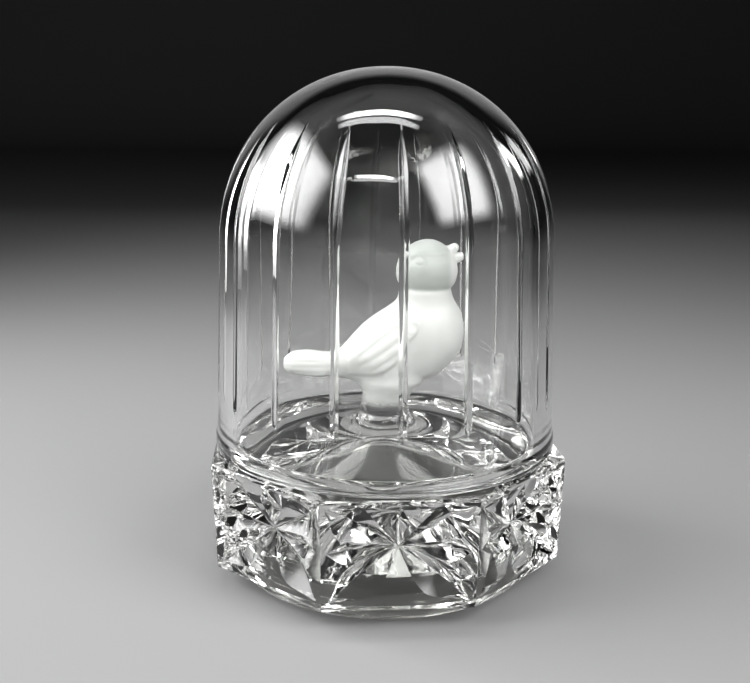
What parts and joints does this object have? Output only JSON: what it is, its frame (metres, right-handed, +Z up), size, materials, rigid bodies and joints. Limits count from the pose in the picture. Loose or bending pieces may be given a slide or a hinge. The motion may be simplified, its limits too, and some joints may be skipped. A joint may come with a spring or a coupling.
{
  "type": "bell jar dome",
  "caption": "Clear glass bell jar with vertical V cuts, standing loose over a frosted glass songbird on an octagonal star-cut crystal base.",
  "frame": {"origin": "centre of the underside, on the surface the foot ring stands on", "axes": "+Z up along the jar's axis, +X the way the bird faces, octagon flats square to X and Y"},
  "size_m": [0.0862, 0.0862, 0.1245],
  "materials": {
    "crystal": "clear, fire polished, with mitre cut facets",
    "adhesive": "clear cured film",
    "frosted_glass": "satin, acid frosted",
    "jar_glass": "clear, polished"
  },
  "bodies": {
    "base": {"crystal_base": "crystal", "adhesive_film": "adhesive", "bird_figurine": "frosted_glass"},
    "dome": {"glass_dome": "jar_glass"}
  },
  "joints": [
    {"name": "dome_lift", "type": "slide", "parent": "base", "child": "dome", "axis": [0, 0, 1], "range_m": [0, 0.06]}
  ]
}
